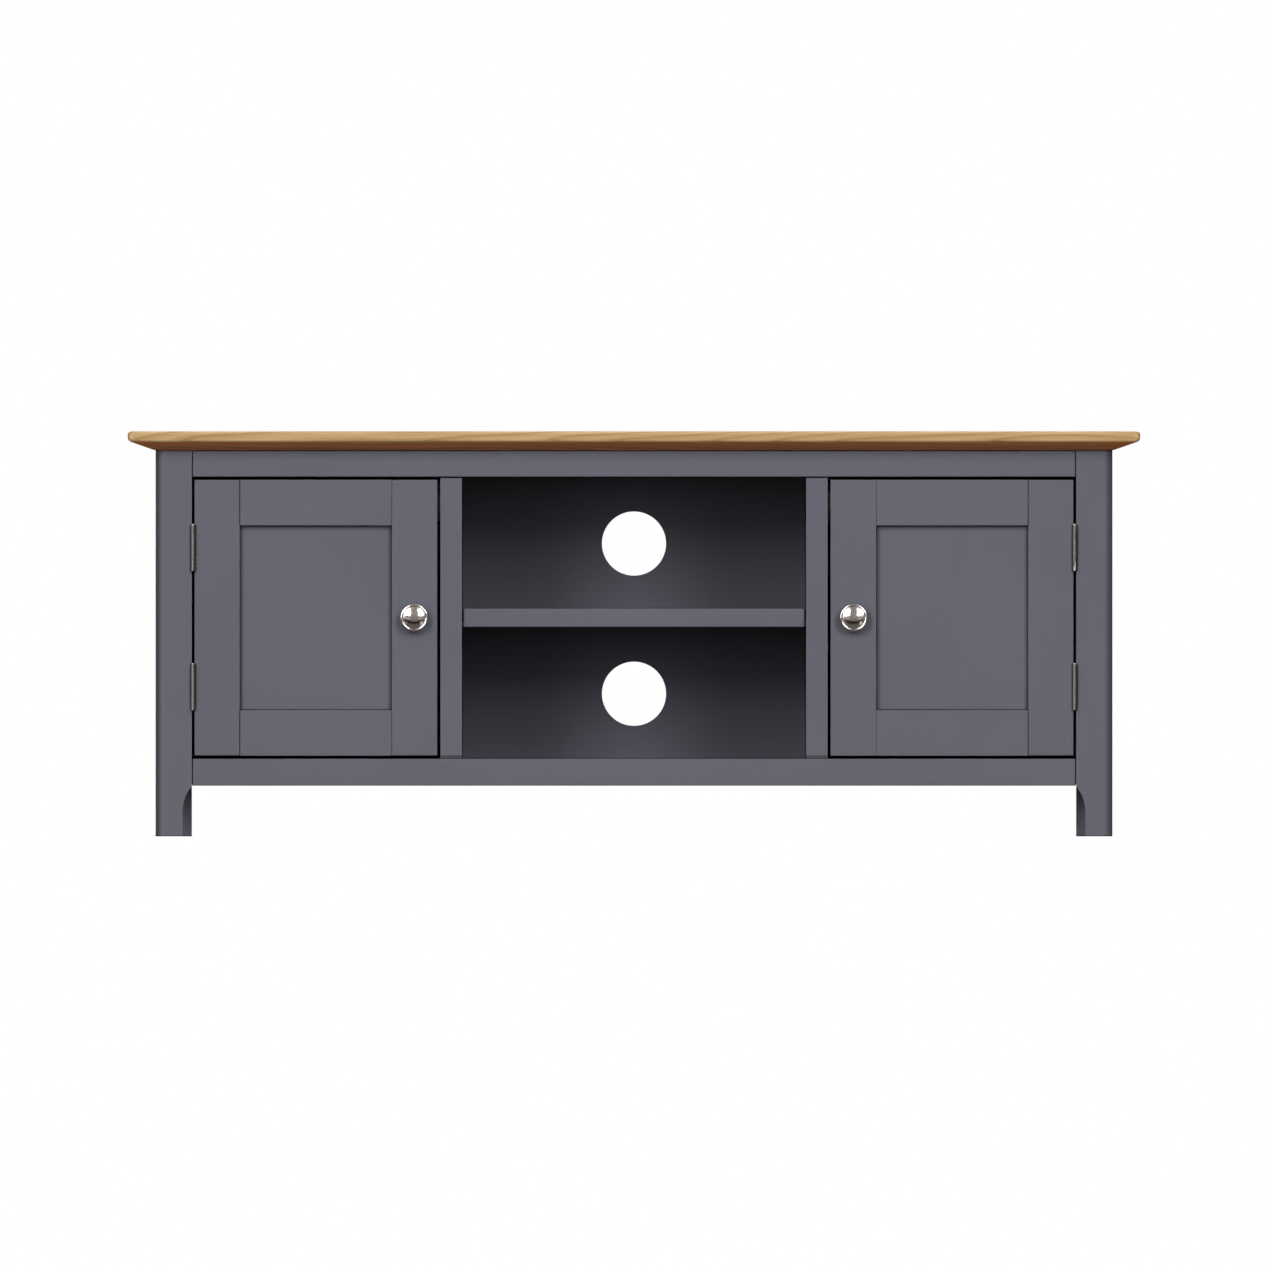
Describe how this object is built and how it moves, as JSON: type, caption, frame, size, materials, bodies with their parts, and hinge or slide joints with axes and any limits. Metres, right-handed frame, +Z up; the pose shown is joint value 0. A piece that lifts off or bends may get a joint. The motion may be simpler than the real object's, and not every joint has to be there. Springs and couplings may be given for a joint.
{
  "type": "media cabinet",
  "caption": "Low media cabinet with an oak top, open centre bays with a shelf and cable holes, and a framed inset door on butt hinges at each end.",
  "frame": {"origin": "on the floor, under the middle of the top", "axes": "+X to the cabinet's right as seen from the front, +Y to the back, +Z up"},
  "size_m": [1.2, 0.4, 0.48],
  "materials": {
    "oak": "satin lacquered oak",
    "painted_wood": "satin blue-grey paint",
    "bare_wood": "planed, unfinished",
    "polished_nickel": "polished",
    "steel": "satin nickel plate",
    "catch_plastic": "moulded"
  },
  "bodies": {
    "carcass": {"top_panel": "oak", "front_top_rail": "painted_wood", "front_bottom_rail": "painted_wood", "back_top_rail": "painted_wood", "back_bottom_rail": "painted_wood", "bottom_panel": "painted_wood", "bottom_cleat": "bare_wood", "back_panel": "painted_wood", "centre_shelf": "painted_wood", "leg_front_left": "painted_wood", "leg_front_right": "painted_wood", "leg_rear_left": "painted_wood", "leg_rear_right": "painted_wood", "side_top_rail_left": "painted_wood", "side_top_rail_right": "painted_wood", "side_bottom_rail_left": "painted_wood", "side_bottom_rail_right": "painted_wood", "side_panel_left": "painted_wood", "side_panel_right": "painted_wood", "divider_left": "painted_wood", "divider_right": "painted_wood", "corner_brace_front_left": "bare_wood", "corner_brace_front_right": "bare_wood", "corner_brace_rear_left": "bare_wood", "corner_brace_rear_right": "bare_wood", "magnetic_catch_left": "catch_plastic", "magnetic_catch_right": "catch_plastic", "shelf_pin_front_left": "steel", "shelf_pin_front_right": "steel", "shelf_pin_rear_left": "steel", "shelf_pin_rear_right": "steel", "hinge_left_lower_frame_leaf": "steel", "hinge_right_lower_frame_leaf": "steel", "hinge_left_upper_frame_leaf": "steel", "hinge_right_upper_frame_leaf": "steel", "hinge_left_lower_pin": "steel", "hinge_right_lower_pin": "steel", "hinge_left_upper_pin": "steel", "hinge_right_upper_pin": "steel"},
    "left_door": {"door_left_hinge_stile": "painted_wood", "door_left_lock_stile": "painted_wood", "door_left_top_rail": "painted_wood", "door_left_bottom_rail": "painted_wood", "door_left_panel": "painted_wood", "knob_left": "polished_nickel", "knob_screw_left": "steel", "strike_plate_left": "steel", "hinge_left_lower_door_leaf": "steel", "hinge_left_upper_door_leaf": "steel"},
    "right_door": {"door_right_hinge_stile": "painted_wood", "door_right_lock_stile": "painted_wood", "door_right_top_rail": "painted_wood", "door_right_bottom_rail": "painted_wood", "door_right_panel": "painted_wood", "knob_right": "polished_nickel", "knob_screw_right": "steel", "strike_plate_right": "steel", "hinge_right_lower_door_leaf": "steel", "hinge_right_upper_door_leaf": "steel"}
  },
  "joints": [
    {"name": "left_door_hinge", "type": "hinge", "parent": "carcass", "child": "left_door", "pos_m": [-0.5225, -0.17, 0.2591], "axis": [0, 0, -1], "range_deg": [0, 170]},
    {"name": "right_door_hinge", "type": "hinge", "parent": "carcass", "child": "right_door", "pos_m": [0.5225, -0.17, 0.2591], "axis": [0, 0, 1], "range_deg": [0, 170]}
  ]
}
